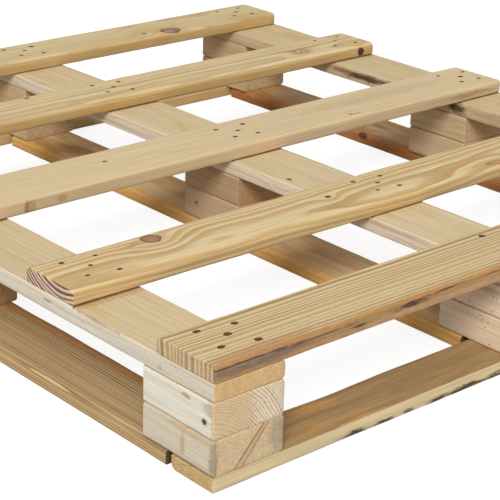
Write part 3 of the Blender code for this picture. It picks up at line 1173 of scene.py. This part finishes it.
DECK_SHAPES = (
    Shape(radii=(0.8, 0.8, 4.0, 3.0), skew=1.2, end_corners=(2.6, 1.0), recess_radius=3.8),
    Shape(radii=(2.6, 1.2, 5.0, 6.0), skew=-2.2, recess_radius=2.7),
    Shape(radii=(2.4, 0.8, 3.0, 2.5), skew=2.4, end_corners=(1.0, 5.0), recess_radius=3.4),
    Shape(radii=(2.6, 1.5, 6.0, 7.0), skew=1.2, end_corners=(3.0, 8.0)),
    Shape(radii=(1.5, 1.5, 5.0, 6.0), skew=0.4, end_corners=(3.0, 7.0), recess_radius=3.4),
)


def painted_groove_shade(stringer):
    """Painted shade on a stringer along the front of the deck boards that lie on it."""
    low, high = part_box(stringer)
    middle_x = 0.5 * (low.x + high.x)
    found = []
    # The first board lies flush with the stringers' ends
    for number, shape in enumerate(DECK_SHAPES[1:], 2):
        low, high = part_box(f"deck_board_{number}")
        front = low.y / MM + shape.skew * middle_x / (high.x - low.x)
        # A thin strip of painted shade just in front of the board's front edge
        found.append(Patch((front + 0.4, 0.0, 9.5), (2.2, 300.0, 1.6), GROOVE_PAINTED_SHADE, 0.8, 0.25))
    return tuple(found)


def build_wood(nails):
    for number, (grain, shape) in enumerate(zip(DECK_GRAINS, DECK_SHAPES), 1):
        node = f"deck_board_{number}"
        recesses = recesses_on(node, shape, nails)
        wood_piece(node, grain, shape, False, number, recesses)
    for number, (column, grain) in enumerate(zip(COLUMNS, STRINGER_GRAINS)):
        node = f"stringer_board_{column}"
        # The stringer's top gets painted shade along the deck boards' front edges
        grain = replace(grain, patches=grain.patches + painted_groove_shade(node))
        shape = Shape(radii=(4.0, 2.0, 2.0, 4.0))
        wood_piece(node, grain, shape, True, STRINGER_SEED + number)
    block_shape = Shape(radii=(4.2, 3.2, 3.2, 4.2), raggedness=0.35, step=4.0, relief=0.3)
    seed = BLOCK_SEED
    rng = np.random.default_rng(seed)
    for layer in ("upper", "lower"):
        for row in ROWS:
            for column in COLUMNS:
                node = f"{layer}_block_{row}_{column}"
                grain = block_grain(node, rng)
                wood_piece(node, grain, block_shape, True, seed)
                seed += 1
    for number, (side, grain) in enumerate(zip(("front", "rear"), CROSS_GRAINS)):
        node = f"bottom_board_{side}"
        shape = Shape(radii=(2.0, 7.0, 3.0, 2.0), raggedness=0.6, end_ease=1.4)
        recesses = recesses_on(node, shape, nails)
        wood_piece(node, grain, shape, False, CROSS_SEED + number, recesses)
    shape = Shape()
    for number, (column, grain) in enumerate(zip(COLUMNS, LONG_GRAINS)):
        node = f"bottom_board_{column}"
        recesses = recesses_on(node, shape, nails)
        wood_piece(node, grain, shape, True, LONG_SEED + number, recesses)


# ---- Stage -------------------------------------------------------


def build_camera():
    data = bpy.data.cameras.new("camera")
    data.lens = CAMERA_LENS
    data.sensor_width = SENSOR_WIDTH
    data.clip_end = CAMERA_CLIP
    camera = add_object("camera", data)
    heading = Matrix.Rotation(math.radians(-CAMERA_HEADING), 4, "Z")
    dip = Matrix.Rotation(math.radians(90.0 - CAMERA_DIP), 4, "X")
    roll = Matrix.Rotation(math.radians(CAMERA_ROLL), 4, "Z")
    camera.matrix_world = Matrix.Translation(CAMERA_PLACE) @ heading @ dip @ roll
    bpy.context.scene.camera = camera


def build_floor():
    corners = [(x * FLOOR_REACH, y * FLOOR_REACH, 0.0) for x, y in SQUARE]
    mesh = new_mesh("floor", corners, [(0, 1, 2, 3)])
    material = bpy.data.materials.new("floor")
    graph = Graph(material)
    seen = graph.nodes.new("ShaderNodeLightPath").outputs["Is Camera Ray"]
    tone = graph.mix(seen, (FLOOR_TONE,) * 3, (FLOOR_SEEN_TONE,) * 3)
    glow = graph.mix(seen, (0.0, 0.0, 0.0), (FLOOR_GLOW,) * 3)
    shader = graph.node(
        "ShaderNodeBsdfPrincipled", Base_Color=tone, Roughness=0.9, Emission_Color=glow
    )
    shader.inputs["Emission Strength"].default_value = 1.0
    graph.finish(shader)
    mesh.materials.append(material)
    floor = add_object("floor", mesh)
    floor.location.z = -FLOOR_DROP


def build_key_light():
    data = bpy.data.lights.new("key", "AREA")
    data.shape = "DISK"
    data.size = KEY_SIZE
    data.energy = KEY_POWER
    lamp = add_object("key", data)
    lamp.location = KEY_PLACE
    direction = Vector(KEY_TARGET) - Vector(KEY_PLACE)
    lamp.rotation_euler = direction.to_track_quat("-Z", "Y").to_euler()


def build_lights():
    world = bpy.data.worlds.new("studio")
    graph = Graph(world)
    seen = graph.nodes.new("ShaderNodeLightPath").outputs["Is Camera Ray"]
    strength = graph.math("MULTIPLY_ADD", seen, 1.0 - SKY_STRENGTH, SKY_STRENGTH)
    background = graph.node("ShaderNodeBackground", Color=(1.0, 1.0, 1.0), Strength=strength)
    output = graph.nodes.new("ShaderNodeOutputWorld")
    graph.links.new(background.outputs[0], output.inputs[0])
    bpy.context.scene.world = world
    build_key_light()
    bpy.context.scene.view_settings.view_transform = "Standard"


def main():
    build_camera()
    build_lights()
    build_floor()
    nails = build_nails()
    build_wood(nails)


main()
